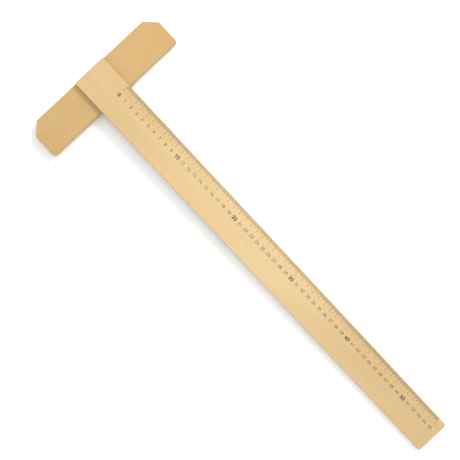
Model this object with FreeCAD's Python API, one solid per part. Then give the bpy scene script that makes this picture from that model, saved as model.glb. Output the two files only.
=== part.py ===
"""Wooden drafting T-square with a fixed head, nominal size 60 cm.

A beech head is lapped under one end of a long thin blade.  A glue film and five countersunk brass
wood screws hold them together.  The screws are driven from the underside, so the drawing side is
plain.  The blade carries a printed scale of 0 to 55 cm that starts at the head's guide face.

Row frame, in millimetres: +X runs along the blade from the head to the tip, +Y points to the edge
with the scale and +Z is up.  x = 0 is the head's guide face, which slides along the edge of the
drawing board.  z = 0 is the blade's underside, which lies on the board.  y = 0 is the centreline.
"""

import FreeCAD, Part

import math
import os

V = FreeCAD.Vector
ORIGIN = V(0, 0, 0)
UP = V(0, 0, 1)

# ---------------------------------------------------------------- driving dimensions, millimetres
HEAD_LENGTH = 200.0  # along Y
HEAD_WIDTH = 45.0  # along X
HEAD_THICKNESS = 10.0
HEAD_CORNER_CUT = 14.0  # the two outer corners are cut off at 45 degrees
HEAD_CORNER_RADIUS = 3.0  # the two corners at the guide face
HEAD_ARRIS = 0.8  # rounding of the long edges

BLADE_REACH = 562.0  # from the guide face to the tip
BLADE_WIDTH = 45.0
BLADE_THICKNESS = 4.0
BLADE_TIP_RADIUS = 2.5
BLADE_HEEL_RADIUS = 1.0  # the two corners over the head's outer edge
BLADE_ARRIS = 0.4
ARRIS_LIMIT = 0.45  # an edge is rounded by no more than this share of its board's thickness

GLUE_THICKNESS = 0.1
GLUE_INSET = 1.2  # from the outline of the lap

SCREW_HEAD_RADIUS = 2.8
SCREW_HEAD_LAND = 0.2  # straight rim of the head, before its 90 degree cone
SCREW_SHANK_RADIUS = 1.5
SCREW_CORE_RADIUS = 1.05  # at the root of the thread
SCREW_THREAD_LENGTH = 7.2  # with the point
SCREW_THREAD_PITCH = 1.2
SCREW_THREAD_LEAN = 0.35  # of a pitch, from a crest to the root behind it
SCREW_POINT_LENGTH = 1.6
SCREW_SLOT_WIDTH = 0.8
SCREW_SLOT_DEPTH = 0.8
SCREW_SLOT_ANGLES = (20.0, 75.0, 130.0, 55.0, 160.0)  # degrees, as a hand leaves them
SCREW_SPACING = 26.0  # side of the square of four screws, with the fifth in its middle
SCREW_RECESS = 0.6  # from the head's underside to the screw heads
SCREW_COVER = 1.5  # wood left between a screw's point and the top of the blade
SCREW_CLEARANCE = 0.1  # round the shank, in the head and the glue film

SCALE_TIP_MARGIN = 12.0  # the scale stops at the last whole centimetre before this
MILLIMETRES_PER_LABEL = 10
MILLIMETRES_PER_HALF = 5
LABELS_PER_BOLD = 10
TICK_INSET = 0.5  # from the scale edge to the outer end of every tick
MILLIMETRE_TICK_LENGTH = 4.0
HALF_TICK_LENGTH = 6.5
CENTIMETRE_TICK_LENGTH = 9.1
FINE_TICK_WIDTH = 0.25
CENTIMETRE_TICK_WIDTH = 0.32
NUMERAL_INSET = 16.0  # from the scale edge to the middle of the numerals
UNIT_HEIGHT = 4.0
UNIT_STROKE = 0.45
BOLD_HEIGHT = 4.8
BOLD_STROKE = 0.95
DIGIT_SPACING = 0.5  # clear gap between two digits
INK_THICKNESS = 0.05

CUT_MARGIN = 5.0  # how far cutting tools run past what they cut
EPSILON = 1e-6

# ---------------------------------------------------------------- places that follow from them
HEAD_TOP = -GLUE_THICKNESS
HEAD_BOTTOM = HEAD_TOP - HEAD_THICKNESS
SCALE_EDGE = BLADE_WIDTH / 2
LAP_CENTRE = -HEAD_WIDTH / 2
SCREW_PLANE = HEAD_BOTTOM + SCREW_RECESS  # the flat ends of the screw heads
SCREW_LENGTH = BLADE_THICKNESS - SCREW_COVER - SCREW_PLANE
SCREW_CONE_HEIGHT = SCREW_HEAD_RADIUS - SCREW_SHANK_RADIUS
SCALE_LABELS = int((BLADE_REACH - SCALE_TIP_MARGIN) // MILLIMETRES_PER_LABEL)
NUMERAL_LINE = SCALE_EDGE - NUMERAL_INSET


# ---------------------------------------------------------------- shapes that several pieces use
def outline(corners):
    """Closed counter-clockwise wire at z = 0 through (x, y, shape, size) corners.

    The shape of a corner is "cut", a 45 degree cut that takes off `size` on both sides, or
    "round", an arc of radius `size`.  The corners are right angles.
    """
    pieces = []
    for index, (x, y, shape, size) in enumerate(corners):
        here = V(x, y, 0)
        back = (V(*corners[index - 1][:2], 0) - here).normalize()
        onward = (V(*corners[(index + 1) % len(corners)][:2], 0) - here).normalize()
        start = here + back * size
        end = here + onward * size
        if shape == "round":
            centre = here + (back + onward) * size
            middle = centre + (here - centre).normalize() * size
            pieces.append((start, Part.Arc(start, middle, end).toShape(), end))
        else:
            pieces.append((start, Part.LineSegment(start, end).toShape(), end))
    edges = []
    for index, (start, corner_edge, end) in enumerate(pieces):
        next_start = pieces[(index + 1) % len(pieces)][0]
        edges.append(corner_edge)
        edges.append(Part.LineSegment(end, next_start).toShape())
    return Part.Wire(edges)


def board(corners, bottom, thickness, arris):
    """Flat board with the given outline and with the edges of both faces rounded."""
    wire = outline(corners)
    wire.translate(V(0, 0, bottom))
    blank = Part.Face(wire).extrude(V(0, 0, thickness))
    levels = (bottom, bottom + thickness)
    rims = [
        edge
        for edge in blank.Edges
        if any(all(abs(v.Z - level) < EPSILON for v in edge.Vertexes) for level in levels)
    ]
    return blank.makeFillet(min(arris, thickness * ARRIS_LIMIT), rims)


def turned(profile):
    """Solid turned about Z from (radius, height) points that start and end on the axis."""
    points = [V(radius, 0, height) for radius, height in profile]
    return Part.Face(Part.makePolygon(points + points[:1])).revolve(ORIGIN, UP, 360)


def screw_places():
    """Centres of the screw heads: the corners of a square, then its middle."""
    half = SCREW_SPACING / 2
    square = [(-half, -half), (half, -half), (half, half), (-half, half), (0.0, 0.0)]
    return [V(LAP_CENTRE + dx, dy, SCREW_PLANE) for dx, dy in square]


# ---------------------------------------------------------------- wood screws and their holes
def screw_form():
    """Countersunk wood screw without its slot, its flat end at z = 0 and its point up."""
    cone_end = SCREW_HEAD_LAND + SCREW_CONE_HEIGHT
    thread_start = SCREW_LENGTH - SCREW_THREAD_LENGTH
    thread_end = SCREW_LENGTH - SCREW_POINT_LENGTH
    profile = [
        (0, 0),
        (SCREW_HEAD_RADIUS, 0),
        (SCREW_HEAD_RADIUS, SCREW_HEAD_LAND),
        (SCREW_SHANK_RADIUS, cone_end),
        (SCREW_SHANK_RADIUS, thread_start),
    ]
    for turn in range(int((thread_end - thread_start) / SCREW_THREAD_PITCH)):
        crest = thread_start + turn * SCREW_THREAD_PITCH
        profile.append((SCREW_CORE_RADIUS, crest + SCREW_THREAD_LEAN * SCREW_THREAD_PITCH))
        profile.append((SCREW_SHANK_RADIUS, crest + SCREW_THREAD_PITCH))
    profile.append((SCREW_CORE_RADIUS, thread_end))
    profile.append((0, SCREW_LENGTH))
    return turned(profile)


def make_screw(place, slot_angle):
    length = 2 * (SCREW_HEAD_RADIUS + CUT_MARGIN)
    corner = V(-length / 2, -SCREW_SLOT_WIDTH / 2, -CUT_MARGIN)
    slot = Part.makeBox(length, SCREW_SLOT_WIDTH, CUT_MARGIN + SCREW_SLOT_DEPTH, corner)
    slot.rotate(ORIGIN, UP, slot_angle)
    screw = screw_form().cut(slot)
    screw.translate(place)
    return screw


def screw_hole():
    """Countersink and clearance hole in the head, measured from the screw head's flat end.

    The countersink's cone is the cone of the screw, carried on to the head's underside.
    """
    cone_foot = SCREW_HEAD_RADIUS + SCREW_HEAD_LAND
    bottom = -SCREW_RECESS - CUT_MARGIN
    bore = SCREW_SHANK_RADIUS + SCREW_CLEARANCE
    top = SCREW_LENGTH + CUT_MARGIN
    countersink = [(0, bottom), (cone_foot - bottom, bottom)]
    shank_hole = [(bore, cone_foot - bore), (bore, top), (0, top)]
    return turned(countersink + shank_hole)


# ---------------------------------------------------------------- head, blade and glue
def make_head():
    half = HEAD_LENGTH / 2
    corners = [
        (-HEAD_WIDTH, -half, "cut", HEAD_CORNER_CUT),
        (0, -half, "round", HEAD_CORNER_RADIUS),
        (0, half, "round", HEAD_CORNER_RADIUS),
        (-HEAD_WIDTH, half, "cut", HEAD_CORNER_CUT),
    ]
    head = board(corners, HEAD_BOTTOM, HEAD_THICKNESS, HEAD_ARRIS)
    for place in screw_places():
        hole = screw_hole()
        hole.translate(place)
        head = head.cut(hole)
    return head


def make_blade():
    """The blade, with a threaded pilot hole for each screw.

    Its long faces are parted at the guide face, where the lap ends and the free blade begins.
    """
    half = BLADE_WIDTH / 2
    corners = [
        (-HEAD_WIDTH, -half, "round", BLADE_HEEL_RADIUS),
        (BLADE_REACH, -half, "round", BLADE_TIP_RADIUS),
        (BLADE_REACH, half, "round", BLADE_TIP_RADIUS),
        (-HEAD_WIDTH, half, "round", BLADE_HEEL_RADIUS),
    ]
    blade = board(corners, 0.0, BLADE_THICKNESS, BLADE_ARRIS)
    for place in screw_places():
        pilot = screw_form()
        pilot.translate(place)
        blade = blade.cut(pilot)
    lap_space = Part.makeBox(
        HEAD_WIDTH + CUT_MARGIN,
        BLADE_WIDTH + 2 * CUT_MARGIN,
        BLADE_THICKNESS + 2 * CUT_MARGIN,
        V(-HEAD_WIDTH - CUT_MARGIN, -half - CUT_MARGIN, -CUT_MARGIN),
    )
    return blade.common(lap_space).fuse(blade.cut(lap_space))


def make_glue_film():
    corner = V(-HEAD_WIDTH + GLUE_INSET, -BLADE_WIDTH / 2 + GLUE_INSET, HEAD_TOP)
    film = Part.makeBox(
        HEAD_WIDTH - 2 * GLUE_INSET, BLADE_WIDTH - 2 * GLUE_INSET, GLUE_THICKNESS, corner
    )
    for place in screw_places():
        bottom = V(place.x, place.y, HEAD_TOP - CUT_MARGIN)
        film = film.cut(Part.makeCylinder(SCREW_SHANK_RADIUS + SCREW_CLEARANCE, 2 * CUT_MARGIN, bottom))
    return film


# ---------------------------------------------------------------- printed ticks
def tick(place, length, width):
    corner = V(place - width / 2, SCALE_EDGE - TICK_INSET - length, BLADE_THICKNESS)
    return Part.makeBox(width, length, INK_THICKNESS, corner)


def make_ticks():
    """One group of thin ink bars for each length of tick, with a tick at every millimetre."""
    groups = {"millimetre_ticks": [], "half_centimetre_ticks": [], "centimetre_ticks": []}
    for place in range(SCALE_LABELS * MILLIMETRES_PER_LABEL + 1):
        if place % MILLIMETRES_PER_LABEL == 0:
            bar = tick(place, CENTIMETRE_TICK_LENGTH, CENTIMETRE_TICK_WIDTH)
            groups["centimetre_ticks"].append(bar)
        elif place % MILLIMETRES_PER_HALF == 0:
            groups["half_centimetre_ticks"].append(tick(place, HALF_TICK_LENGTH, FINE_TICK_WIDTH))
        else:
            groups["millimetre_ticks"].append(tick(place, MILLIMETRE_TICK_LENGTH, FINE_TICK_WIDTH))
    return {name: Part.makeCompound(bars) for name, bars in groups.items()}


# ---------------------------------------------------------------- printed numerals
# Each digit is drawn with a round pen, as with a lettering stencil, in a cell one unit high.
# ("line", x0, y0, x1, y1) or ("arc", centre x, centre y, radius, from degrees, to degrees)
DIGIT_WIDTH = 0.56
LOOP = DIGIT_WIDTH / 2
DIGIT_STROKES = {
    "0": [
        ("arc", LOOP, 1 - LOOP, LOOP, 0, 180),
        ("arc", LOOP, LOOP, LOOP, 180, 360),
        ("line", 0, LOOP, 0, 1 - LOOP),
        ("line", DIGIT_WIDTH, LOOP, DIGIT_WIDTH, 1 - LOOP),
    ],
    "1": [("line", 0.36, 0, 0.36, 1), ("line", 0.36, 1, 0.12, 0.76)],
    "2": [
        ("arc", LOOP, 1 - LOOP, LOOP, -30, 170),
        ("line", 0.523, 0.58, 0, 0),
        ("line", 0, 0, DIGIT_WIDTH, 0),
    ],
    "3": [("arc", LOOP, 0.76, 0.24, -90, 160), ("arc", LOOP, 0.26, 0.26, -160, 90)],
    "4": [
        ("line", 0.36, 1, 0, 0.28),
        ("line", 0, 0.28, DIGIT_WIDTH, 0.28),
        ("line", 0.42, 0.5, 0.42, 0),
    ],
    "5": [
        ("line", 0.07, 1, 0.52, 1),
        ("line", 0.07, 1, 0.05, 0.55),
        ("arc", 0.25, 0.31, 0.31, -140, 130),
    ],
    "6": [("arc", LOOP, LOOP, LOOP, 0, 360), ("arc", 0.8, LOOP, 0.8, 116, 180)],
    "7": [("line", 0, 1, DIGIT_WIDTH, 1), ("line", DIGIT_WIDTH, 1, 0.18, 0)],
    "8": [("arc", LOOP, 0.76, 0.24, 0, 360), ("arc", LOOP, 0.26, 0.26, 0, 360)],
    "9": [("arc", LOOP, 1 - LOOP, LOOP, 0, 360), ("arc", -0.24, 1 - LOOP, 0.8, -64, 0)],
}


def pen_dot(x, y, pen):
    return Part.makeCylinder(pen / 2, INK_THICKNESS, V(x, y, 0))


def pen_line(x0, y0, x1, y1, pen):
    along = V(x1 - x0, y1 - y0, 0)
    bar = Part.makeBox(along.Length, pen, INK_THICKNESS, V(0, -pen / 2, 0))
    bar.rotate(ORIGIN, UP, math.degrees(math.atan2(along.y, along.x)))
    bar.translate(V(x0, y0, 0))
    return [bar, pen_dot(x0, y0, pen), pen_dot(x1, y1, pen)]


def pen_arc(x, y, radius, start, end, pen):
    outer = Part.makeCylinder(radius + pen / 2, INK_THICKNESS, ORIGIN, UP, end - start)
    arc = outer.cut(Part.makeCylinder(radius - pen / 2, INK_THICKNESS, ORIGIN))
    arc.rotate(ORIGIN, UP, start)
    arc.translate(V(x, y, 0))
    pieces = [arc]
    if end - start < 360:
        for angle in (math.radians(start), math.radians(end)):
            pieces.append(pen_dot(x + radius * math.cos(angle), y + radius * math.sin(angle), pen))
    return pieces


def make_digit(digit, height, pen):
    """One digit with its lowest point at y = 0.  The path of the pen starts at x = 0."""
    path_height = height - pen
    pieces = []
    for kind, *values in DIGIT_STROKES[digit]:
        if kind == "line":
            pieces += pen_line(*[value * path_height for value in values], pen)
        else:
            centre_and_radius = [value * path_height for value in values[:3]]
            pieces += pen_arc(*centre_and_radius, *values[3:], pen)
    solid = pieces[0].multiFuse(pieces[1:]).removeSplitter()
    solid.translate(V(0, pen / 2, 0))
    return solid


def make_numerals(labels, height, pen):
    """The digits of every label, centred on the label's tick and on the numeral line."""
    digits = {digit: make_digit(digit, height, pen) for digit in DIGIT_STROKES}
    path_width = DIGIT_WIDTH * (height - pen)
    advance = path_width + pen + DIGIT_SPACING
    solids = []
    for label in labels:
        text = str(label)
        text_width = advance * (len(text) - 1) + path_width
        left = label * MILLIMETRES_PER_LABEL - text_width / 2
        for index, digit in enumerate(text):
            place = V(left + index * advance, NUMERAL_LINE - height / 2, BLADE_THICKNESS)
            solid = digits[digit].copy()
            solid.translate(place)
            solids.append(solid)
    return Part.makeCompound(solids)


# ---------------------------------------------------------------- all the pieces
def make_nodes():
    nodes = {"head": make_head(), "blade": make_blade(), "glue_film": make_glue_film()}
    for number, (place, angle) in enumerate(zip(screw_places(), SCREW_SLOT_ANGLES), 1):
        nodes[f"screw_{number}"] = make_screw(place, angle)
    nodes.update(make_ticks())
    labels = range(SCALE_LABELS + 1)
    bold = [label for label in labels if label % LABELS_PER_BOLD == 0]
    plain = [label for label in labels if label % LABELS_PER_BOLD]
    nodes["tens_numerals"] = make_numerals(bold, BOLD_HEIGHT, BOLD_STROKE)
    nodes["unit_numerals"] = make_numerals(plain, UNIT_HEIGHT, UNIT_STROKE)
    return nodes


os.makedirs("parts", exist_ok=True)
for name, shape in make_nodes().items():
    shape.exportStep(f"parts/{name}.step")
    print(f"{name}: {len(shape.Solids)} solid(s), {shape.Volume:.3f} mm3, valid {shape.isValid()}")
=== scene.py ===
"""Looks of a wooden T-square: two varnished boards, brass screws, a printed scale and a pale stage.

Lengths are in metres in the frame of the CAD model, with +X along the blade, +Y towards the scale
and +Z up. Patterns in the materials are laid out in millimetres.
"""

import math

import bmesh
import bpy
from mathutils import Matrix, Vector


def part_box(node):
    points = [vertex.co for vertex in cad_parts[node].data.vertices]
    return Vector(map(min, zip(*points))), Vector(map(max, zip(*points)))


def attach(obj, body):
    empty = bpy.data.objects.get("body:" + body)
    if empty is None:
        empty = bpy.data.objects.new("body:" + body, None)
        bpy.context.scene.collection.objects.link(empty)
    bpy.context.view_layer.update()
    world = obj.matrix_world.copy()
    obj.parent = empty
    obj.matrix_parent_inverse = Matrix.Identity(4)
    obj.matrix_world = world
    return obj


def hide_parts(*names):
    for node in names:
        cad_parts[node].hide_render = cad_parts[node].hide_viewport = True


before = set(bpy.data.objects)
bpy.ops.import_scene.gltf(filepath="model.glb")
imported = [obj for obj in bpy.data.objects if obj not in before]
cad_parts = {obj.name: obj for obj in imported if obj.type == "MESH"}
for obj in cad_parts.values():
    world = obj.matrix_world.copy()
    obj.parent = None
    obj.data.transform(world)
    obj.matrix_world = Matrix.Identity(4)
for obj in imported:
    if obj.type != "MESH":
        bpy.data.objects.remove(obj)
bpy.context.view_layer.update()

bl_info = {
    "name": "Wooden T-square",
    "version": (1, 0, 0),
    "blender": (4, 5, 0),
    "location": "3D Viewport > Sidebar > T-square",
    "description": "Builds the boards, screws, printed scale and stage of a wooden T-square",
    "category": "Object",
}

MM = 0.001
BODY = "root"
SCREW_NODES = sorted(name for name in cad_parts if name.startswith("screw_"))
NUMERAL_NODES = ("tens_numerals", "unit_numerals")

# ---------------------------------------------------------------- places given by the frame
HEAD_LOW, HEAD_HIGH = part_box("head")
BLADE_LOW, BLADE_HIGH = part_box("blade")
FINE_LOW, FINE_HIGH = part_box("millimetre_ticks")
HALF_LOW, HALF_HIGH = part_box("half_centimetre_ticks")
LONG_LOW, LONG_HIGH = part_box("centimetre_ticks")
SCREW_BOXES = [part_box(name) for name in SCREW_NODES]

GUIDE_FACE = HEAD_HIGH.x
BLADE_MIDDLE = (BLADE_LOW + BLADE_HIGH) / 2
SCALE_CENTIMETRES = round((LONG_HIGH.x + LONG_LOW.x) / (10 * MM))
SCREW_CENTRES = [(low + high) / 2 for low, high in SCREW_BOXES]
SCREW_PLANE = SCREW_BOXES[0][0].z
SCREW_LENGTH = SCREW_BOXES[0][1].z - SCREW_PLANE
SCREW_HEAD_RADIUS = (SCREW_BOXES[0][1].x - SCREW_BOXES[0][0].x) / 2
SCREW_SPACING = max(c.y for c in SCREW_CENTRES) - min(c.y for c in SCREW_CENTRES)
LAP_CENTRE = sum((centre.xy for centre in SCREW_CENTRES), Vector((0, 0))) / len(SCREW_CENTRES)


# ---------------------------------------------------------------- settings
def from_srgb(red, green, blue):
    """Linear colour from display values of 0 to 255."""
    shares = (value / 255 for value in (red, green, blue))
    return tuple(s / 12.92 if s <= 0.04045 else ((s + 0.055) / 1.055) ** 2.4 for s in shares)


def length(name, description, default):
    return bpy.props.FloatProperty(
        name=name, description=description, default=default, min=0.0, precision=5, unit="LENGTH"
    )


def share(name, description, default):
    return bpy.props.FloatProperty(
        name=name, description=description, default=default, min=0.0, max=1.0, subtype="FACTOR"
    )


def number(name, description, default):
    return bpy.props.FloatProperty(name=name, description=description, default=default)


def colour(name, description, default):
    return bpy.props.FloatVectorProperty(
        name=name, description=description, default=default, min=0.0, max=1.0, subtype="COLOR"
    )


def seed(default):
    return bpy.props.IntProperty(
        name="Seed", description="Changes what is random on the piece", default=default, min=0
    )


class HeadSettings(bpy.types.PropertyGroup):
    """Shape of the head."""

    corner_cut: length("Corner cut", "Size of the two clipped corners", 14.0 * MM)
    corner_radius: length("Corner radius", "Rounding of the corners at the guide face", 3.0 * MM)
    arris: length("Arris", "Rounding of the edges", 0.8 * MM)


class BladeSettings(bpy.types.PropertyGroup):
    """Shape of the blade."""

    tip_radius: length("Tip radius", "Rounding of the two corners at the tip", 2.5 * MM)
    heel_radius: length("Heel radius", "Rounding of the two corners over the head", 1.0 * MM)
    arris: length("Arris", "Rounding of the edges", 0.4 * MM)


class WoodFigure:
    """Settings that both woods share. Distances along and across a board are in millimetres."""

    ring_wander: number("Ring wander", "How far a ring strays from its circle, mm", 2.0)
    ring_strength: share("Ring strength", "How clearly the rings show", 0.3)
    fibre_strength: share("Fibre strength", "How clearly the fibres show", 0.3)
    roughness: share("Roughness", "Roughness of the varnish", 0.4)


class BeechSettings(WoodFigure, bpy.types.PropertyGroup):
    """Colour and figure of the head's beech."""

    pale: colour("Early wood", "Colour between the rings", from_srgb(174, 145, 92))
    # Deep wood colours the clouds, which are the wood's own tone, and also the painted shade
    # towards the ends.
    cloud_and_painted_shade: colour("Deep wood", "Colour of clouds and darker ends", from_srgb(171, 134, 80))
    late: colour("Late wood", "Colour of the lines that end the rings", from_srgb(148, 110, 62))
    fleck: colour("Ray flecks", "Colour of the short dashes", from_srgb(122, 82, 46))
    fleck_strength: share("Fleck strength", "How clearly the ray flecks show", 0.3)
    # The palest place and the two reaches lay out painted light: the wood is painted palest round
    # that place and darker towards its ends, as painted shade.
    palest_painted_light: number("Palest place", "Where along the head the wood is palest, mm", 50.0)
    painted_light_reach: number("Pale reach", "How far each way the wood stays pale, mm", 50.0)
    painted_shade_reach: number("Deep reach", "How far each way the wood gets deeper, mm", 150.0)
    ring_width: number("Ring width", "Growth of one year, mm", 2.6)
    heart_across: number("Heart across", "Where the log's heart is, across the head, mm", 46.0)
    heart_below: number("Heart below", "Where the log's heart is, below the head, mm", -64.0)


class MapleSettings(WoodFigure, bpy.types.PropertyGroup):
    """Colour and figure of the blade's maple."""

    pale: colour("Early wood", "Colour between the rings", from_srgb(194, 169, 124))
    # Deep wood colours the clouds, which are the wood's own tone, and also the painted shade
    # towards the ends.
    cloud_and_painted_shade: colour("Deep wood", "Colour of clouds and darker ends", from_srgb(181, 154, 108))
    late: colour("Late wood", "Colour of the lines that end the rings", from_srgb(166, 133, 86))
    fleck: colour("Ray flecks", "Colour of the short dashes", from_srgb(142, 107, 66))
    fleck_strength: share("Fleck strength", "How clearly the ray flecks show", 0.2)
    # The palest place and the two reaches lay out painted light: the blade is painted palest round
    # that place and darker towards the lap and the tip, as painted shade.
    palest_painted_light: number("Palest place", "Where along the blade the wood is palest, mm", 230.0)
    painted_light_reach: number("Pale reach", "How far each way the wood stays pale, mm", 40.0)
    painted_shade_reach: number("Deep reach", "How far each way the wood gets deeper, mm", 240.0)
    ring_width: number("Ring width", "Growth of one year, mm", 1.7)
    heart_across: number("Heart across", "Where the log's heart is, across the blade, mm", -82.0)
    heart_below: number("Heart below", "Where the log's heart is, below the blade, mm", -30.0)


class GlueSettings(bpy.types.PropertyGroup):
    """Colour of the glue film."""

    amber: colour("Clear glue", "Colour where the glue has dried clear", from_srgb(196, 158, 92))
    milky: colour("Cloudy glue", "Colour where it stayed cloudy", from_srgb(222, 196, 140))


class ScrewSettings(bpy.types.PropertyGroup):
    """Brass wood screws and their countersinks."""

    shank: length("Shank radius", "Radius over the thread's crests", 1.5 * MM)
    core: length("Core radius", "Radius at the thread's root", 1.05 * MM)
    pitch: length("Pitch", "Advance of the thread in one turn", 1.2 * MM)
    threaded: length("Threaded length", "Length of the thread, with the point", 7.2 * MM)
    point: length("Point length", "Length of the cone at the end", 1.6 * MM)
    land: length("Head land", "Height of the straight rim of the head", 0.2 * MM)
    ease: length("Eased rim", "Bevel round the flat of the head", 0.06 * MM)
    slot: length("Slot", "Width and depth of the driving slot", 0.8 * MM)
    clearance: length("Clearance", "Gap round the shank in the head's hole", 0.1 * MM)
    brass: colour("Brass", "Colour of bright brass", from_srgb(226, 196, 122))
    tarnish: colour("Tarnish", "Colour of dulled brass", from_srgb(150, 116, 62))
    seed: seed(7)


class ScaleSettings(bpy.types.PropertyGroup):
    """The printed scale."""

    fine_width: length("Fine width", "Width of the millimetre and 5 mm ticks", 0.25 * MM)
    long_width: length("Long width", "Width of the centimetre ticks", 0.32 * MM)
    width_spread: share("Width spread", "How much the ticks differ in width", 0.16)
    length_spread: share("Length spread", "How much a tick may stop short", 0.03)
    ink: colour("Ink", "Colour of the printed marks", from_srgb(24, 26, 32))
    thin_ink: colour("Thin ink", "Colour where the ink is thin", from_srgb(62, 58, 54))
    seed: seed(3)


class StageSettings(bpy.types.PropertyGroup):
    """Floor, light and camera."""

    floor: colour("Floor", "Colour of the floor", (0.81, 0.805, 0.795))
    floor_size: length("Floor size", "From the middle of the floor to its edge", 3.0)
    ambient: number("Ambient light", "Strength of the light from all round", 1.25)
    key: number("Key light", "Power of the soft light, in watts", 17.0)
    key_size: length("Key light size", "Side of the soft light", 0.42)
    key_distance: length("Key light distance", "From the blade's middle to the light", 1.4)
    key_direction: bpy.props.FloatVectorProperty(
        name="Key light direction", description="From the blade's middle towards the soft light",
        default=(-0.3, 0.95, 0.63), subtype="DIRECTION",
    )
    lens: number("Lens", "Focal length of the camera on a 36 mm wide sensor, in mm", 54.78)
    camera_place: bpy.props.FloatVectorProperty(
        name="Camera place", description="Where the camera stands",
        default=(0.16523, -0.00574, 0.84167), unit="LENGTH",
    )
    camera_turn: bpy.props.FloatVectorProperty(
        name="Camera turn", description="Turn of the camera about X, Y and Z",
        default=tuple(math.radians(angle) for angle in (-2.14, -1.866, 46.932)), subtype="EULER",
    )


GROUPS = {
    "head": HeadSettings,
    "blade": BladeSettings,
    "beech": BeechSettings,
    "maple": MapleSettings,
    "glue": GlueSettings,
    "screws": ScrewSettings,
    "scale": ScaleSettings,
    "stage": StageSettings,
}


class TSquareSettings(bpy.types.PropertyGroup):
    """Everything a user would change."""

    head: bpy.props.PointerProperty(type=HeadSettings)
    blade: bpy.props.PointerProperty(type=BladeSettings)
    beech: bpy.props.PointerProperty(type=BeechSettings)
    maple: bpy.props.PointerProperty(type=MapleSettings)
    glue: bpy.props.PointerProperty(type=GlueSettings)
    screws: bpy.props.PointerProperty(type=ScrewSettings)
    scale: bpy.props.PointerProperty(type=ScaleSettings)
    stage: bpy.props.PointerProperty(type=StageSettings)


# ---------------------------------------------------------------- node building
class NodeSheet:
    """Adds nodes to a tree, sets their values and links their sockets."""

    COLUMNS, COLUMN_WIDTH, ROW_HEIGHT = 8, 200, 260

    def __init__(self, tree):
        self.tree = tree
        self.count = 0

    def add(self, kind, inputs=None, **settings):
        """New node. Inputs are {name or index: value or socket}, settings are its own."""
        node = self.tree.nodes.new(kind)
        row, column = divmod(self.count, self.COLUMNS)
        node.location = (column * self.COLUMN_WIDTH, -row * self.ROW_HEIGHT)
        self.count += 1
        for key, value in settings.items():
            setattr(node, key, value)
        for key, value in (inputs or {}).items():
            self.feed(node.inputs[key], value)
        return node

    def feed(self, socket, value):
        if isinstance(value, bpy.types.NodeSocket):
            self.tree.links.new(value, socket)
        else:
            socket.default_value = value

    def group(self, tree, inputs):
        """Outputs of a node group placed with its own values."""
        node = self.add("ShaderNodeGroup", node_tree=tree)
        for key, value in inputs.items():
            self.feed(node.inputs[key], value)
        return node.outputs

    def math(self, operation, *values):
        inputs = dict(enumerate(values))
        return self.add("ShaderNodeMath", inputs, operation=operation).outputs[0]

    def vector(self, operation, *values):
        """Result of a vector operation that gives a vector."""
        inputs = dict(enumerate(values))
        return self.add("ShaderNodeVectorMath", inputs, operation=operation).outputs["Vector"]

    def distance(self, vector):
        inputs = {"Vector": vector}
        return self.add("ShaderNodeVectorMath", inputs, operation="LENGTH").outputs["Value"]

    def parts(self, vector):
        """X, Y and Z of a vector."""
        return self.add("ShaderNodeSeparateXYZ", {"Vector": vector}).outputs

    def ramp(self, value, low, high, to_low=0.0, to_high=1.0):
        """Smooth step from to_low where the value is low to to_high where it is high."""
        inputs = {
            "Value": value, "From Min": low, "From Max": high, "To Min": to_low, "To Max": to_high,
        }
        return self.add("ShaderNodeMapRange", inputs, interpolation_type="SMOOTHSTEP").outputs[0]

    def noise(self, vector, detail=2.0, roughness=0.5):
        inputs = {"Vector": vector, "Scale": 1.0, "Detail": detail, "Roughness": roughness}
        return self.add("ShaderNodeTexNoise", inputs).outputs[0]

    def scaled(self, vector, *factors):
        """Vector times one factor, or times a factor for each axis."""
        return self.vector("MULTIPLY", vector, factors * 3 if len(factors) == 1 else factors)

    def mix(self, factor, one, two):
        """Colour between one and two, each a socket or a linear colour."""
        node = self.add("ShaderNodeMix", data_type="RGBA")
        socket = {item.identifier: item for item in node.inputs}
        for key, value in (("A_Color", one), ("B_Color", two)):
            is_socket = isinstance(value, bpy.types.NodeSocket)
            self.feed(socket[key], value if is_socket else (*value, 1.0))
        self.feed(socket["Factor_Float"], factor)
        return next(item for item in node.outputs if item.identifier == "Result_Color")


def new_group(name, inputs, outputs):
    """Shader node group, its sheet and its inputs.

    Inputs are (name, socket type, default), and outputs are the names of numbers.
    """
    tree = bpy.data.node_groups.new(name, "ShaderNodeTree")
    for label, kind, default in inputs:
        socket = tree.interface.new_socket(label, in_out="INPUT", socket_type=kind)
        socket.default_value = default
    for label in outputs:
        tree.interface.new_socket(label, in_out="OUTPUT", socket_type="NodeSocketFloat")
    sheet = NodeSheet(tree)
    return tree, sheet, sheet.add("NodeGroupInput").outputs


def built_once(collection, name, make, *values):
    """The named material or node group, made the first time it is asked for."""
    return collection.get(name) or make(*values)


# ---------------------------------------------------------------- shader node groups
# Parts of a noise, which is mostly between 0.3 and 0.7.
ALL_OF_NOISE = (0.3, 0.7)
MIDDLE_OF_NOISE = (0.35, 0.65)

# Sizes of a wood's features along and across its grain, in mm.
SLOW_STRAY = (150.0, 32.0)
QUICK_STRAY = (34.0, 5.0)
FIBRE = (24.0, 0.42)
CLOUD = (130.0, 17.0)

SLOW_STRENGTH, QUICK_STRENGTH = 2.0, 0.35  # shares of a ring's wander
LATE_POWER = 3.0  # the higher, the later in a year the wood turns dark
YEAR_END = 0.94  # share of a year at which the dark wood starts to fade out
FAINTEST_YEAR = -0.4  # below 0, so that even the faintest ring shows
SMALLEST_FLECKS = 0.2  # share of the flecks that are as small as a fleck gets
FLECK_SHARES = (0.06, 0.3)  # smallest and largest fleck, in cells
FLECK_CORE = 0.45  # share of a fleck that is as dark as it gets
FLECK_SINK, FIBRE_SINK = 0.35, 0.6  # how far flecks and fibres lie below the surface

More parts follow.
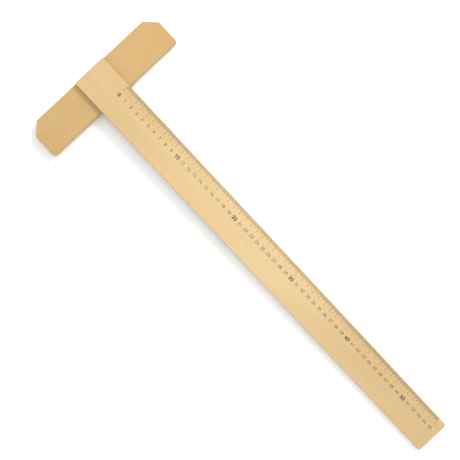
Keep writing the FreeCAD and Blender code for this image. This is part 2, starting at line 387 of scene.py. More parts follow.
WEAR_PATCHES = 0.35  # patches of more and less wear in a mm
WEAR_REACHES = (0.5, 1.5)  # times the width of the worn edge
FACE_DEPTH = (0.3, 0.02)  # mm from a face, from not on it to wholly on it

SCRATCHES = (0.08, 2.2, 2.2)  # fine scratches in a mm along X, Y and Z
SMUDGE_BAND, SCRATCH_BAND = (0.4, 0.75), (0.62, 0.75)  # of their noises


def wood_figure():
    """Rings, fibres, ray flecks and clouds of a board whose grain runs along X."""
    tree, sheet, given = new_group(
        "Wood figure",
        [
            ("Position", "NodeSocketVector", (0.0, 0.0, 0.0)),
            ("Heart", "NodeSocketVector", (0.0, -70.0, -40.0)),
            ("Ring Width", "NodeSocketFloat", 2.0),
            ("Wander", "NodeSocketFloat", 2.0),
            ("Fleck Length", "NodeSocketFloat", 4.2),
            ("Fleck Spacing", "NodeSocketFloat", 0.95),
        ],
        ("Rings", "Fibres", "Flecks", "Clouds", "Height"),
    )
    place = given["Position"]

    def stretched(along, across):
        return sheet.scaled(place, 1 / along, 1 / across, 1 / across)

    # A ring is a circle round the heart that strays slowly, and a little quickly.
    slow = sheet.math("SUBTRACT", sheet.noise(stretched(*SLOW_STRAY), detail=1.0), 0.5)
    quick = sheet.math("SUBTRACT", sheet.noise(stretched(*QUICK_STRAY)), 0.5)
    stray = sheet.math("MULTIPLY", slow, SLOW_STRENGTH)
    stray = sheet.math("MULTIPLY_ADD", quick, QUICK_STRENGTH, stray)
    from_heart = sheet.scaled(sheet.vector("SUBTRACT", place, given["Heart"]), 0.0, 1.0, 1.0)
    radius = sheet.math("MULTIPLY_ADD", stray, given["Wander"], sheet.distance(from_heart))
    year = sheet.math("DIVIDE", radius, given["Ring Width"])
    growth = sheet.math("FRACT", year)
    late = sheet.math("POWER", growth, LATE_POWER)
    late = sheet.math("MULTIPLY", late, sheet.ramp(growth, 1.0, YEAR_END))
    which = sheet.add(
        "ShaderNodeTexWhiteNoise", {"W": sheet.math("FLOOR", year)}, noise_dimensions="1D"
    )
    rings = sheet.math("MULTIPLY", late, sheet.ramp(which.outputs["Value"], FAINTEST_YEAR, 1.0))

    fibres = sheet.noise(stretched(*FIBRE), detail=4.0, roughness=0.6)
    clouds = sheet.ramp(sheet.noise(stretched(*CLOUD), detail=2.5), *ALL_OF_NOISE)

    # A fleck is a long cell's core, of a size of its own.
    spacing = given["Fleck Spacing"]
    grid = sheet.add(
        "ShaderNodeCombineXYZ", {"X": given["Fleck Length"], "Y": spacing, "Z": spacing}
    )
    in_cells = sheet.vector("DIVIDE", place, grid.outputs[0])
    cells = sheet.add("ShaderNodeTexVoronoi", {"Vector": in_cells, "Scale": 1.0}).outputs
    size = sheet.ramp(sheet.parts(cells["Color"])["X"], SMALLEST_FLECKS, 1.0, *FLECK_SHARES)
    flecks = sheet.ramp(sheet.math("DIVIDE", cells["Distance"], size), 1.0, FLECK_CORE)

    sunk = sheet.math("MULTIPLY", fibres, FIBRE_SINK)
    sunk = sheet.math("MULTIPLY_ADD", flecks, FLECK_SINK, sunk)
    sheet.add("NodeGroupOutput", {
        "Rings": rings, "Fibres": fibres, "Flecks": flecks, "Clouds": clouds,
        "Height": sheet.math("MULTIPLY", sunk, -1.0),
    })
    return tree


def board_edges():
    """Worn edges, and which face it is, of a board with two clipped corners at its low-X end."""
    tree, sheet, given = new_group(
        "Board edges",
        [
            ("Position", "NodeSocketVector", (0.0, 0.0, 0.0)),
            ("Low Corner", "NodeSocketVector", (0.0, 0.0, 0.0)),
            ("High Corner", "NodeSocketVector", (1.0, 1.0, 1.0)),
            ("Corner Cut", "NodeSocketFloat", 0.0),
            ("Width", "NodeSocketFloat", 1.1),
        ],
        ("Wear", "X Face", "Y Face"),
    )
    place = given["Position"]
    from_low = sheet.vector("SUBTRACT", place, given["Low Corner"])
    from_high = sheet.vector("SUBTRACT", given["High Corner"], place)
    depth = sheet.parts(sheet.vector("MINIMUM", from_low, from_high))
    from_end = sheet.parts(from_low)["X"]
    from_corner = sheet.math("ADD", from_end, depth["Y"])
    from_corner = sheet.math("SUBTRACT", from_corner, given["Corner Cut"])
    from_cut = sheet.math("MULTIPLY", from_corner, math.sqrt(0.5))

    patches = sheet.noise(sheet.scaled(place, WEAR_PATCHES), detail=3.0)
    patches = sheet.ramp(patches, *ALL_OF_NOISE, *WEAR_REACHES)
    reach = sheet.math("MULTIPLY", given["Width"], patches)

    def near(distance):
        return sheet.ramp(sheet.math("DIVIDE", distance, reach), 1.0, 0.0)

    def on_face(distance):
        return sheet.ramp(distance, *FACE_DEPTH)

    end = sheet.math("MAXIMUM", near(depth["X"]), near(from_cut))
    side = near(depth["Y"])
    rim = sheet.math("MULTIPLY", sheet.math("MAXIMUM", end, side), near(depth["Z"]))
    upright = sheet.math("MULTIPLY", end, side)
    sheet.add("NodeGroupOutput", {
        "Wear": sheet.math("MAXIMUM", rim, upright),
        "X Face": on_face(depth["X"]),
        "Y Face": sheet.math("MAXIMUM", on_face(depth["Y"]), on_face(from_cut)),
    })
    return tree


def handling_marks():
    """Broad smudges and fine scratches, for gloss."""
    tree, sheet, given = new_group(
        "Handling marks",
        [
            ("Position", "NodeSocketVector", (0.0, 0.0, 0.0)),
            ("Size", "NodeSocketFloat", 26.0),
        ],
        ("Marks",),
    )
    place = given["Position"]
    cube = sheet.add("ShaderNodeCombineXYZ", {axis: given["Size"] for axis in "XYZ"}).outputs[0]
    broad = sheet.noise(sheet.vector("DIVIDE", place, cube), detail=3.0, roughness=0.6)
    scratches = sheet.noise(sheet.scaled(place, *SCRATCHES), detail=3.0)
    smudges = sheet.ramp(broad, *SMUDGE_BAND)
    marks = sheet.math("MAXIMUM", smudges, sheet.ramp(scratches, *SCRATCH_BAND))
    sheet.add("NodeGroupOutput", {"Marks": marks})
    return tree


# ---------------------------------------------------------------- materials
CLOUD_STRENGTH = 0.45
FIBRE_BAND, PORE_BAND = (0.35, 0.75), (0.4, 0.62)  # of the noise of the fibres
WORN_TONE = 0.35  # how far a worn edge takes the colour of a fleck
END_GRAIN_TONES = (0.35, 0.7)  # how dark end grain is between its pores and in them
MARK_ROUGHNESS, WORN_ROUGHNESS, END_GRAIN_ROUGHNESS = 0.1, 0.12, 0.14
GRAIN_RELIEF, GRAIN_DEPTH = 0.22, 0.2 * MM
VARNISH_COAT, VARNISH_COAT_ROUGHNESS, VARNISH_SPECULAR = 0.25, 0.22, 0.4

INK_GRAIN = 2.4  # specks of thin ink in a mm
THIN_INK_BAND = (0.5, 0.72)
INK_ROUGHNESSES = (0.5, 0.68)
INK_RELIEF, INK_DEPTH = 0.2, 0.03 * MM

TARNISH_PATCHES = 0.7  # patches in a mm
TARNISH_BAND, MOST_TARNISH = (0.45, 0.7), 0.6
SLOT_DEPTHS = (0.1, 0.5)  # mm into the head from its flat, from bright to dull
LATHE_MARKS = (9.0, 9.0, 1.5)  # in a mm along X, Y and Z
BRASS_ROUGHNESSES, DULL_ROUGHNESS = (0.24, 0.36), 0.2
LATHE_RELIEF, LATHE_DEPTH = 0.3, 0.04 * MM

GLUE_CLOUDS = 0.4  # clouds in a mm
GLUE_ROUGHNESSES = (0.2, 0.4)

FLOOR_MOTTLE = 0.02  # patches in a mm
FLOOR_SHADE = 0.985  # brightness of the darker patches
FLOOR_ROUGHNESS, FLOOR_SPECULAR = 0.9, 0.1


def new_material(name):
    """Empty material with a Principled shader, and a sheet to build on."""
    material = bpy.data.materials.new(name)
    material.use_nodes = True
    material.node_tree.nodes.clear()
    sheet = NodeSheet(material.node_tree)
    shader = sheet.add("ShaderNodeBsdfPrincipled")
    sheet.add("ShaderNodeOutputMaterial", {"Surface": shader.outputs[0]})
    return material, sheet, shader.inputs


def in_millimetres(sheet, turn=0.0, shift=(0.0, 0.0, 0.0)):
    """Position on the piece in mm, turned about Z and moved."""
    inputs = {
        "Vector": sheet.add("ShaderNodeTexCoord").outputs["Object"],
        "Scale": (1 / MM,) * 3, "Rotation": (0.0, 0.0, turn), "Location": shift,
    }
    return sheet.add("ShaderNodeMapping", inputs).outputs[0]


def relief(sheet, height, strength, distance):
    inputs = {"Height": height, "Strength": strength, "Distance": distance}
    return sheet.add("ShaderNodeBump", inputs).outputs[0]


def varnished_wood(name, wood, low, high, along_y=False, shift=(0.0, 0.0, 0.0), cut=0.0):
    """Varnished wood whose grain runs along X, or along Y."""
    material, sheet, shader = new_material(name)
    grain = in_millimetres(sheet, math.pi / 2 if along_y else 0.0, shift)
    figure = sheet.group(built_once(bpy.data.node_groups, "Wood figure", wood_figure), {
        "Position": grain,
        "Heart": (0.0, wood.heart_across, wood.heart_below),
        "Ring Width": wood.ring_width,
        "Wander": wood.ring_wander,
    })
    edges = sheet.group(built_once(bpy.data.node_groups, "Board edges", board_edges), {
        "Position": in_millimetres(sheet),
        "Low Corner": tuple(low / MM),
        "High Corner": tuple(high / MM),
        "Corner Cut": cut / MM,
    })
    marks = sheet.group(built_once(bpy.data.node_groups, "Handling marks", handling_marks), {
        "Position": grain,
    })["Marks"]
    end_grain = edges["Y Face" if along_y else "X Face"]

    def share_of(mask, strength):
        return sheet.math("MULTIPLY", mask, strength)

    # Painted light: the wood is painted palest round one place along the grain and darker towards
    # both ends, as painted shade where the light falls off. The clouds added on top are the wood's
    # own tone.
    from_palest_painted_light = sheet.math("SUBTRACT", sheet.parts(grain)["X"], wood.palest_painted_light)
    ends = sheet.ramp(sheet.math("ABSOLUTE", from_palest_painted_light), wood.painted_light_reach, wood.painted_shade_reach)
    clouds = share_of(sheet.math("SUBTRACT", figure["Clouds"], 0.5), CLOUD_STRENGTH)
    tone = sheet.mix(sheet.math("ADD", ends, clouds), wood.pale, wood.cloud_and_painted_shade)
    tone = sheet.mix(share_of(figure["Rings"], wood.ring_strength), tone, wood.late)
    fibres = sheet.ramp(figure["Fibres"], *FIBRE_BAND, 0.0, wood.fibre_strength)
    tone = sheet.mix(fibres, tone, wood.late)
    tone = sheet.mix(share_of(figure["Flecks"], wood.fleck_strength), tone, wood.fleck)
    tone = sheet.mix(share_of(edges["Wear"], WORN_TONE), tone, wood.fleck)
    pores = sheet.ramp(figure["Fibres"], *PORE_BAND, *END_GRAIN_TONES)
    tone = sheet.mix(sheet.math("MULTIPLY", end_grain, pores), tone, wood.late)

    rough = sheet.math("ADD", share_of(marks, MARK_ROUGHNESS), wood.roughness)
    rough = sheet.math("ADD", rough, share_of(edges["Wear"], WORN_ROUGHNESS))
    rough = sheet.math("ADD", rough, share_of(end_grain, END_GRAIN_ROUGHNESS))
    sheet.feed(shader["Base Color"], tone)
    sheet.feed(shader["Roughness"], rough)
    sheet.feed(shader["Normal"], relief(sheet, figure["Height"], GRAIN_RELIEF, GRAIN_DEPTH))
    shader["Coat Weight"].default_value = VARNISH_COAT
    shader["Coat Roughness"].default_value = VARNISH_COAT_ROUGHNESS
    shader["Specular IOR Level"].default_value = VARNISH_SPECULAR
    return material


def printing_ink(scale):
    """Matt ink that is thin in places."""
    material, sheet, shader = new_material("printing_ink")
    grain = sheet.scaled(in_millimetres(sheet), INK_GRAIN)
    grain = sheet.noise(grain, detail=4.0, roughness=0.7)
    thin = sheet.ramp(grain, *THIN_INK_BAND)
    sheet.feed(shader["Base Color"], sheet.mix(thin, scale.ink, scale.thin_ink))
    sheet.feed(shader["Roughness"], sheet.ramp(grain, *ALL_OF_NOISE, *INK_ROUGHNESSES))
    sheet.feed(shader["Normal"], relief(sheet, grain, INK_RELIEF, INK_DEPTH))
    return material


def screw_brass(screws):
    """Turned brass, dull in patches and in the slot."""
    material, sheet, shader = new_material("screw_brass")
    place = in_millimetres(sheet)
    patches = sheet.scaled(place, TARNISH_PATCHES)
    patches = sheet.noise(patches, detail=5.0, roughness=0.65)
    lathe_marks = sheet.noise(sheet.scaled(place, *LATHE_MARKS), detail=3.0)
    slot = [SCREW_PLANE / MM + depth for depth in SLOT_DEPTHS]
    in_slot = sheet.ramp(sheet.parts(place)["Z"], *slot)
    patches = sheet.ramp(patches, *TARNISH_BAND, 0.0, MOST_TARNISH)
    dull = sheet.math("MAXIMUM", patches, in_slot)
    gloss = sheet.ramp(lathe_marks, *ALL_OF_NOISE, *BRASS_ROUGHNESSES)
    sheet.feed(shader["Base Color"], sheet.mix(dull, screws.brass, screws.tarnish))
    sheet.feed(shader["Roughness"], sheet.math("MULTIPLY_ADD", dull, DULL_ROUGHNESS, gloss))
    sheet.feed(shader["Normal"], relief(sheet, lathe_marks, LATHE_RELIEF, LATHE_DEPTH))
    shader["Metallic"].default_value = 1.0
    return material


def dried_glue(glue):
    """Dried wood glue, amber and slightly cloudy."""
    material, sheet, shader = new_material("dried_glue")
    place = in_millimetres(sheet)
    cloudy = sheet.noise(sheet.scaled(place, GLUE_CLOUDS), detail=4.0)
    tone = sheet.mix(sheet.ramp(cloudy, *MIDDLE_OF_NOISE), glue.amber, glue.milky)
    sheet.feed(shader["Base Color"], tone)
    sheet.feed(shader["Roughness"], sheet.ramp(cloudy, *ALL_OF_NOISE, *GLUE_ROUGHNESSES))
    return material


def stage_floor(stage):
    """Pale paper with a barely visible mottle."""
    material, sheet, shader = new_material("stage_floor")
    place = in_millimetres(sheet)
    mottle = sheet.noise(sheet.scaled(place, FLOOR_MOTTLE), detail=3.0)
    shade = tuple(value * FLOOR_SHADE for value in stage.floor)
    tone = sheet.mix(sheet.ramp(mottle, *MIDDLE_OF_NOISE), stage.floor, shade)
    sheet.feed(shader["Base Color"], tone)
    shader["Roughness"].default_value = FLOOR_ROUGHNESS
    shader["Specular IOR Level"].default_value = FLOOR_SPECULAR
    return material


# ---------------------------------------------------------------- meshes
ARC_STEPS = 8
ARRIS_STEPS = 4
LATHE_STEPS = 48
BEVEL_ANGLE = math.radians(30)
SHARP_ANGLE = math.radians(50)
SAME_POINT = 0.0001 * MM
NEARLY_SAME_POINT = 0.005 * MM
CUT_MARGIN = 5 * MM
THREAD_FLANK = 0.35  # of a pitch, from a crest to the root behind it


def outline(corners):
    """Points, counter-clockwise, of square (x, y, shape, size) corners that are cut or round."""
    points = []
    for index, (x, y, shape, size) in enumerate(corners):
        here = Vector((x, y))
        back = (Vector(corners[index - 1][:2]) - here).normalized() * size
        onward = (Vector(corners[(index + 1) % len(corners)][:2]) - here).normalized() * size
        if shape == "cut":
            points += [here + back, here + onward]
            continue
        centre = here + back + onward
        for step in range(ARC_STEPS + 1):
            angle = math.pi / 2 * step / ARC_STEPS
            points.append(centre - onward * math.cos(angle) - back * math.sin(angle))
    return points


def clean(bm, same_point):
    bmesh.ops.remove_doubles(bm, verts=bm.verts, dist=same_point)
    bmesh.ops.recalc_face_normals(bm, faces=bm.faces)


def new_object(name, bm):
    """Smooth-shaded object with the finished bmesh, its normals pointing out."""
    clean(bm, SAME_POINT)
    mesh = bpy.data.meshes.new(name)
    bm.to_mesh(mesh)
    bm.free()
    mesh.shade_smooth()
    piece = bpy.data.objects.new(name, mesh)
    bpy.context.scene.collection.objects.link(piece)
    return piece


def board(name, corners, bottom, top, arris):
    """Flat board with its sharp edges rounded."""
    bm = bmesh.new()
    points = outline(corners)
    lower = [bm.verts.new((p.x, p.y, bottom)) for p in points]
    upper = [bm.verts.new((p.x, p.y, top)) for p in points]
    bm.faces.new(lower)
    bm.faces.new(upper)
    for index in range(len(points)):
        bm.faces.new((lower[index - 1], lower[index], upper[index], upper[index - 1]))
    clean(bm, SAME_POINT)
    sharp = [edge for edge in bm.edges if edge.calc_face_angle() > BEVEL_ANGLE]
    bmesh.ops.bevel(
        bm, geom=sharp, offset=arris, segments=ARRIS_STEPS, profile=0.5, affect="EDGES"
    )
    return new_object(name, bm)


def turned(bm, profile, centre=(0, 0)):
    """Closed surface turned about an upright axis from (radius, height) points."""
    x, y = centre[:2]
    rings = []
    for radius, height in profile:
        steps = LATHE_STEPS if radius else 1
        angles = [2 * math.pi * step / steps for step in range(steps)]
        rings.append([
            bm.verts.new((x + radius * math.cos(angle), y + radius * math.sin(angle), height))
            for angle in angles
        ])
    for one, two in zip(rings, rings[1:]):
        for step in range(LATHE_STEPS):
            corners = [one[step % len(one)], one[(step + 1) % len(one)]]
            corners += [two[(step + 1) % len(two)], two[step % len(two)]]
            bm.faces.new(dict.fromkeys(corners))


def bake_modifiers(piece):
    """Makes the evaluated shape the piece's own mesh, and takes its modifiers off."""
    graph = bpy.context.evaluated_depsgraph_get()
    mesh = bpy.data.meshes.new_from_object(piece.evaluated_get(graph), depsgraph=graph)
    piece.modifiers.clear()
    old = piece.data
    piece.data = mesh
    bpy.data.meshes.remove(old)
    mesh.name = piece.name


def smooth_arrises(piece):
    """Shades rounded edges smooth and flat faces flat."""
    piece.data.set_sharp_from_angle(angle=SHARP_ANGLE)
    weighted = piece.modifiers.new("Weighted normals", "WEIGHTED_NORMAL")
    weighted.keep_sharp = True
    bake_modifiers(piece)


def cut_away(piece, cutter):
    """Takes the cutter's shape out of the piece, and removes the cutter."""
    holes = piece.modifiers.new("Holes", "BOOLEAN")
    holes.operation = "DIFFERENCE"
    holes.solver = "EXACT"
    holes.object = cutter
    bake_modifiers(piece)
    bm = bmesh.new()
    bm.from_mesh(piece.data)
    clean(bm, NEARLY_SAME_POINT)
    bm.to_mesh(piece.data)
    bm.free()
    mesh = cutter.data
    bpy.data.objects.remove(cutter)
    bpy.data.meshes.remove(mesh)


def finish_piece(piece, material, slot, *nodes):
    """Dresses a finished piece and hands it to the frame in place of its CAD nodes."""
    dress(piece, material)
    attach(piece, BODY)
    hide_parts(*nodes)


def dress(piece, material):
    piece.data.materials.clear()
    piece.data.materials.append(material)


# ---------------------------------------------------------------- geometry node trees
def new_geometry_tree(name, inputs):
    """Geometry tree, its sheet and its inputs. Inputs are {name: socket type}."""
    tree = bpy.data.node_groups.new(name, "GeometryNodeTree")
    for label, kind in inputs.items():
        tree.interface.new_socket(label, in_out="INPUT", socket_type=kind)
    tree.interface.new_socket("Geometry", in_out="OUTPUT", socket_type="NodeSocketGeometry")
    sheet = NodeSheet(tree)
    return tree, sheet, sheet.add("NodeGroupInput").outputs


def end_geometry_tree(sheet, instances, material):
    real = sheet.add("GeometryNodeRealizeInstances", {"Geometry": instances}).outputs[0]
    inputs = {"Geometry": real, "Material": material}
    dressed = sheet.add("GeometryNodeSetMaterial", inputs).outputs[0]
    sheet.add("NodeGroupOutput", {"Geometry": dressed})


def random_number(sheet, low, high, index, seed_value):
    kind = "FunctionNodeRandomValue"
    node = sheet.add(kind, {"ID": index, "Seed": seed_value}, data_type="FLOAT")
    for label, value in (("Min", low), ("Max", high)):
        sheet.feed(next(s for s in node.inputs if s.name == label and s.enabled), value)
    return next(socket for socket in node.outputs if socket.enabled)


def run_tree(name, tree, values):
    """New piece made by a geometry tree with the given named inputs."""
    piece = bpy.data.objects.new(name, bpy.data.meshes.new(name))
    bpy.context.scene.collection.objects.link(piece)
    modifier = piece.modifiers.new(tree.name, "NODES")
    modifier.node_group = tree
    for item in tree.interface.items_tree:
        if item.item_type == "SOCKET" and item.in_out == "INPUT":
            modifier[item.identifier] = values[item.name]
    bake_modifiers(piece)
    return piece


def tick_row():
    """Row of ink bars along X with their outer ends on one line, every n-th one left out."""
    tree, sheet, given = new_geometry_tree("Tick row", {
        "First Tick": "NodeSocketVector",
        "Pitch": "NodeSocketFloat",
        "Count": "NodeSocketInt",
        "Leave Out Every": "NodeSocketInt",
        "Length": "NodeSocketFloat",
        "Width": "NodeSocketFloat",
        "Ink Thickness": "NodeSocketFloat",
        "Width Spread": "NodeSocketFloat",
        "Length Spread": "NodeSocketFloat",
        "Seed": "NodeSocketInt",
        "Ink": "NodeSocketMaterial",
    })
    index = sheet.add("GeometryNodeInputIndex").outputs[0]
    points = sheet.add("GeometryNodeMeshLine", {
        "Count": given["Count"],
        "Start Location": given["First Tick"],
        "Offset": sheet.add("ShaderNodeCombineXYZ", {"X": given["Pitch"]}).outputs[0],
    }).outputs[0]

    def spread(label, offset, low, high):
        """Random factor near 1, from low to high times the spread away from it."""
        lowest = sheet.math("MULTIPLY_ADD", given[label], low, 1.0)
        highest = sheet.math("MULTIPLY_ADD", given[label], high, 1.0)
        own_seed = sheet.math("ADD", given["Seed"], offset)
        return random_number(sheet, lowest, highest, index, own_seed)

    size = sheet.add("ShaderNodeCombineXYZ", {
        "X": sheet.math("MULTIPLY", given["Width"], spread("Width Spread", 0, -0.5, 0.5)),
        "Y": sheet.math("MULTIPLY", given["Length"], spread("Length Spread", 1, -1.0, 0.0)),
        "Z": given["Ink Thickness"],
    }).outputs[0]
    sized = sheet.add(
        "GeometryNodeStoreNamedAttribute", {"Geometry": points, "Name": "bar size"},
        data_type="FLOAT_VECTOR", domain="POINT",
    )
    sheet.feed(next(s for s in sized.inputs if s.name == "Value" and s.enabled), size)

    def whole_number(operation, one, two):
        inputs = {0: one, 1: two}
        return sheet.add("FunctionNodeIntegerMath", inputs, operation=operation).outputs[0]

    # The remainder is 0 at every n-th tick, and the rest of the product is 0 if none is left out.
    every = given["Leave Out Every"]
    remainder = whole_number("MODULO", index, whole_number("MAXIMUM", every, 1))
    at_multiple = sheet.math("COMPARE", remainder, 0.0, 0.5)
    leave_out = sheet.math("MULTIPLY", at_multiple, sheet.math("GREATER_THAN", every, 0.0))
    kept = sheet.add("GeometryNodeDeleteGeometry", {
        "Geometry": sized.outputs[0], "Selection": leave_out,
    }).outputs[0]

    bar = sheet.add("GeometryNodeTransform", {
        "Geometry": sheet.add("GeometryNodeMeshCube").outputs[0], "Translation": (0.0, -0.5, 0.5),
    }).outputs[0]
    named = sheet.add(
        "GeometryNodeInputNamedAttribute", {"Name": "bar size"}, data_type="FLOAT_VECTOR"
    )
    bars = sheet.add("GeometryNodeInstanceOnPoints", {
        "Points": kept, "Instance": bar, "Scale": named.outputs[0],
    }).outputs[0]
    end_geometry_tree(sheet, bars, given["Ink"])
    return tree


def screw_pattern():
    """Screws at the corners and in the middle of a square, each turned as it was left."""
    tree, sheet, given = new_geometry_tree("Screw pattern", {
        "Screw": "NodeSocketObject",
        "Centre": "NodeSocketVector",
        "Spacing": "NodeSocketFloat",
        "Seed": "NodeSocketInt",
        "Brass": "NodeSocketMaterial",
    })
    square = sheet.add("GeometryNodeMeshGrid", {
        "Size X": given["Spacing"], "Size Y": given["Spacing"], "Vertices X": 2, "Vertices Y": 2,
    }).outputs[0]
    middle = sheet.add("GeometryNodeMeshLine", {"Count": 1}).outputs[0]
    both = sheet.add("GeometryNodeJoinGeometry")
    for part in (square, middle):
        sheet.feed(both.inputs[0], part)
    places = sheet.add("GeometryNodeTransform", {
        "Geometry": both.outputs[0], "Translation": given["Centre"],
    }).outputs[0]
    index = sheet.add("GeometryNodeInputIndex").outputs[0]
    turn = random_number(sheet, 0.0, math.pi, index, given["Seed"])
    screw = sheet.add("GeometryNodeObjectInfo", {"Object": given["Screw"]}).outputs["Geometry"]
    screws = sheet.add("GeometryNodeInstanceOnPoints", {
        "Points": places, "Instance": screw,
        "Rotation": sheet.add("ShaderNodeCombineXYZ", {"Z": turn}).outputs[0],
    }).outputs[0]
    end_geometry_tree(sheet, screws, given["Brass"])
    return tree


# ---------------------------------------------------------------- operators
SENSOR_WIDTH = 36.0  # mm
BEECH_SHIFT = (31.0, 7.0, 5.0)  # mm, so that the head's figure differs from the blade's


def countersink(screws):
    """Profile of a hole through the head, whose cone carries on the cone of the screw."""
    below, above = HEAD_LOW.z - CUT_MARGIN, HEAD_HIGH.z + CUT_MARGIN
    cone_tip = SCREW_HEAD_RADIUS + screws.land + SCREW_PLANE
    bore = screws.shank + screws.clearance
    cone = [(0, below), (cone_tip - below, below)]
    return cone + [(bore, cone_tip - bore), (bore, above), (0, above)]


def screw_profile(screws):
    """Profile of one screw, from the flat of its head at height 0 up to its point."""
    rim = SCREW_HEAD_RADIUS
    thread_start = SCREW_LENGTH - screws.threaded
    thread_end = SCREW_LENGTH - screws.point
    profile = [(0, 0), (rim - screws.ease, 0), (rim, screws.ease), (rim, screws.land)]
    profile += [(screws.shank, screws.land + rim - screws.shank), (screws.shank, thread_start)]
    for turn in range(int((thread_end - thread_start) / screws.pitch)):
        foot = thread_start + turn * screws.pitch
        profile.append((screws.core, foot + THREAD_FLANK * screws.pitch))
        profile.append((screws.shank, foot + screws.pitch))
    return profile + [(screws.core, thread_end), (0, SCREW_LENGTH)]


def make_screw(screws):
    """One screw, the flat of its head at the origin and its point up."""
    bm = bmesh.new()
    turned(bm, screw_profile(screws))
    screw = new_object("screw_template", bm)
    # The cutter is twice as long as the head is wide, and half of its height is in the head.
    slot = bmesh.new()
    shape = Matrix.Diagonal((4 * SCREW_HEAD_RADIUS, screws.slot, 2 * screws.slot, 1))
    bmesh.ops.create_cube(slot, size=1.0, matrix=shape)
    cut_away(screw, new_object("slot_cutter", slot))
    smooth_arrises(screw)
    return screw


class T_SQUARE_OT_make_head(bpy.types.Operator):
    """Makes the head, with its clipped corners and countersunk holes"""

    bl_idname = "t_square.make_head"
    bl_label = "Make head"

    def execute(self, context):
        kit = context.scene.t_square
        corners = [
            (HEAD_LOW.x, HEAD_LOW.y, "cut", kit.head.corner_cut),
            (HEAD_HIGH.x, HEAD_LOW.y, "round", kit.head.corner_radius),
            (HEAD_HIGH.x, HEAD_HIGH.y, "round", kit.head.corner_radius),
            (HEAD_LOW.x, HEAD_HIGH.y, "cut", kit.head.corner_cut),
        ]
        head = board("beech_head", corners, HEAD_LOW.z, HEAD_HIGH.z, kit.head.arris)
        holes = bmesh.new()
        for centre in SCREW_CENTRES:
            turned(holes, countersink(kit.screws), centre)
        cut_away(head, new_object("hole_cutter", holes))
        smooth_arrises(head)
        beech = varnished_wood(
            "varnished_beech", kit.beech, HEAD_LOW, HEAD_HIGH,
            along_y=True, shift=BEECH_SHIFT, cut=kit.head.corner_cut,
        )
        finish_piece(head, beech, "beech", "head")
        return {"FINISHED"}


class T_SQUARE_OT_make_blade(bpy.types.Operator):
    """Makes the blade, with the threaded holes in its underside"""

    bl_idname = "t_square.make_blade"
    bl_label = "Make blade"

    def execute(self, context):
        kit = context.scene.t_square
        corners = [
            (BLADE_LOW.x, BLADE_LOW.y, "round", kit.blade.heel_radius),
            (BLADE_HIGH.x, BLADE_LOW.y, "round", kit.blade.tip_radius),
            (BLADE_HIGH.x, BLADE_HIGH.y, "round", kit.blade.tip_radius),
            (BLADE_LOW.x, BLADE_HIGH.y, "round", kit.blade.heel_radius),
        ]
        blade = board("maple_blade", corners, BLADE_LOW.z, BLADE_HIGH.z, kit.blade.arris)
        thread = [(radius, SCREW_PLANE + height) for radius, height in screw_profile(kit.screws)]
        holes = bmesh.new()
        for centre in SCREW_CENTRES:
            turned(holes, thread, centre)
        cut_away(blade, new_object("thread_cutter", holes))
        smooth_arrises(blade)
        maple = varnished_wood("varnished_maple", kit.maple, BLADE_LOW, BLADE_HIGH)
        finish_piece(blade, maple, "maple", "blade")
        return {"FINISHED"}


class T_SQUARE_OT_dress_glue(bpy.types.Operator):
    """Gives the glue film its finish"""

    bl_idname = "t_square.dress_glue"
    bl_label = "Dress glue film"

    def execute(self, context):
        dress(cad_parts["glue_film"], dried_glue(context.scene.t_square.glue))
        return {"FINISHED"}


class T_SQUARE_OT_make_screws(bpy.types.Operator):
    """Makes the brass wood screws in the underside of the head"""

    bl_idname = "t_square.make_screws"
    bl_label = "Make screws"

    def execute(self, context):
        screws = context.scene.t_square.screws
        template = make_screw(screws)
        brass = screw_brass(screws)
        row = run_tree("brass_screws", screw_pattern(), {
            "Screw": template,
            "Centre": (LAP_CENTRE.x, LAP_CENTRE.y, SCREW_PLANE),
            "Spacing": SCREW_SPACING,
            "Seed": screws.seed,
            "Brass": brass,
        })
        bpy.data.objects.remove(template)
        finish_piece(row, brass, "brass", *SCREW_NODES)
        return {"FINISHED"}


class T_SQUARE_OT_print_ticks(bpy.types.Operator):
    """Prints the three rows of ticks along the scale's edge"""

    bl_idname = "t_square.print_ticks"
    bl_label = "Print ticks"

    def execute(self, context):
        scale = context.scene.t_square.scale
        ink = built_once(bpy.data.materials, "printing_ink", printing_ink, scale)
        tree = tick_row()
        last = 10 * SCALE_CENTIMETRES
        fine, long = scale.fine_width, scale.long_width
        # Kind of tick, corners, first tick and pitch in mm, every how many left out, width.
        rows = (
            ("millimetre", FINE_LOW, FINE_HIGH, 0, 1, 5, fine),
            ("half_centimetre", HALF_LOW, HALF_HIGH, 5, 10, 0, fine),
            ("centimetre", LONG_LOW, LONG_HIGH, 0, 10, 0, long),
        )
        for kind, low, high, first, pitch, leave_out, width in rows:
            row = run_tree(kind + "_row", tree, {
                "First Tick": (GUIDE_FACE + first * MM, high.y, low.z),
                "Pitch": pitch * MM,
                "Count": (last - first) // pitch + 1,
                "Leave Out Every": leave_out,
                "Length": high.y - low.y,
                "Width": width,
                "Ink Thickness": high.z - low.z,
                "Width Spread": scale.width_spread,
                "Length Spread": scale.length_spread,
                "Seed": scale.seed,
                "Ink": ink,
            })
            finish_piece(row, ink, "ink", kind + "_ticks")
        return {"FINISHED"}


class T_SQUARE_OT_ink_numerals(bpy.types.Operator):
    """Gives the numerals the ink of the ticks"""

    bl_idname = "t_square.ink_numerals"
    bl_label = "Ink numerals"

    def execute(self, context):
        scale = context.scene.t_square.scale
        ink = built_once(bpy.data.materials, "printing_ink", printing_ink, scale)
        for name in NUMERAL_NODES:
            dress(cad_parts[name], ink)
        return {"FINISHED"}


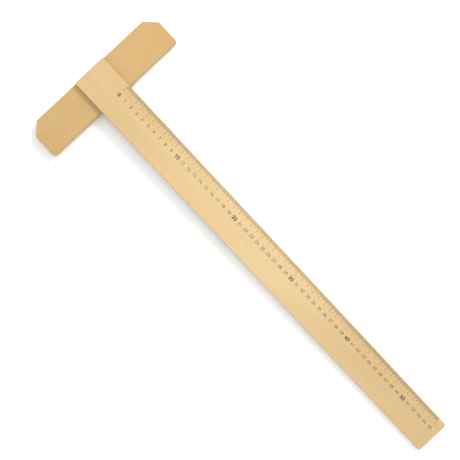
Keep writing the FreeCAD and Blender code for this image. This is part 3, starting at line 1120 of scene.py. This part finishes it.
class T_SQUARE_OT_set_stage(bpy.types.Operator):
    """Lays the floor and sets the light and the camera"""

    bl_idname = "t_square.set_stage"
    bl_label = "Set stage"

    def execute(self, context):
        stage = context.scene.t_square.stage
        self.lay_floor(stage)
        self.set_light(context.scene, stage)
        self.set_camera(context.scene, stage)
        return {"FINISHED"}

    def lay_floor(self, stage):
        """Floor under the T-square, which rests on the head's inner edge and the blade's tip."""
        tilt = math.atan2(HEAD_LOW.z - BLADE_LOW.z, BLADE_HIGH.x - GUIDE_FACE)
        place = Matrix.Translation((GUIDE_FACE, 0, HEAD_LOW.z)) @ Matrix.Rotation(tilt, 4, "Y")
        bm = bmesh.new()
        bmesh.ops.create_grid(bm, x_segments=1, y_segments=1, size=stage.floor_size, matrix=place)
        floor = new_object("floor", bm)
        dress(floor, stage_floor(stage))

    def set_light(self, scene, stage):
        world = bpy.data.worlds.new("soft_room")
        world.use_nodes = True
        room = world.node_tree.nodes["Background"].inputs
        room["Color"].default_value = (1.0, 1.0, 1.0, 1.0)
        room["Strength"].default_value = stage.ambient
        scene.world = world
        lamp = bpy.data.lights.new("soft_key", "AREA")
        lamp.energy = stage.key
        lamp.size = stage.key_size
        key = bpy.data.objects.new("soft_key", lamp)
        towards = Vector(stage.key_direction).normalized()
        key.location = BLADE_MIDDLE + towards * stage.key_distance
        key.rotation_euler = towards.to_track_quat("Z", "Y").to_euler()
        scene.collection.objects.link(key)

    def set_camera(self, scene, stage):
        camera = bpy.data.objects.new("camera", bpy.data.cameras.new("camera"))
        camera.data.sensor_width = SENSOR_WIDTH
        camera.data.lens = stage.lens
        camera.location = stage.camera_place
        camera.rotation_euler = stage.camera_turn
        scene.collection.objects.link(camera)
        scene.camera = camera
        scene.view_settings.view_transform = "Standard"


class T_SQUARE_PT_panel(bpy.types.Panel):
    """The T-square's pieces and settings"""

    bl_idname = "T_SQUARE_PT_panel"
    bl_label = "T-square"
    bl_space_type = "VIEW_3D"
    bl_region_type = "UI"
    bl_category = "T-square"

    def draw(self, context):
        for step in STEPS:
            self.layout.operator(step.bl_idname)
        for label, group in GROUPS.items():
            box = self.layout.box()
            box.label(text=label.capitalize())
            settings = getattr(context.scene.t_square, label)
            for key in group.bl_rna.properties.keys():
                if key not in ("rna_type", "name"):
                    box.prop(settings, key)


STEPS = (
    T_SQUARE_OT_make_head,
    T_SQUARE_OT_make_blade,
    T_SQUARE_OT_dress_glue,
    T_SQUARE_OT_make_screws,
    T_SQUARE_OT_print_ticks,
    T_SQUARE_OT_ink_numerals,
    T_SQUARE_OT_set_stage,
)
CLASSES = (*GROUPS.values(), TSquareSettings, *STEPS, T_SQUARE_PT_panel)


def register():
    for cls in CLASSES:
        bpy.utils.register_class(cls)
    bpy.types.Scene.t_square = bpy.props.PointerProperty(type=TSquareSettings)


def unregister():
    del bpy.types.Scene.t_square
    for cls in reversed(CLASSES):
        bpy.utils.unregister_class(cls)


def main():
    register()
    for step in STEPS:
        getattr(bpy.ops.t_square, step.bl_idname.split(".")[1])()


if __name__ == "__main__":
    main()
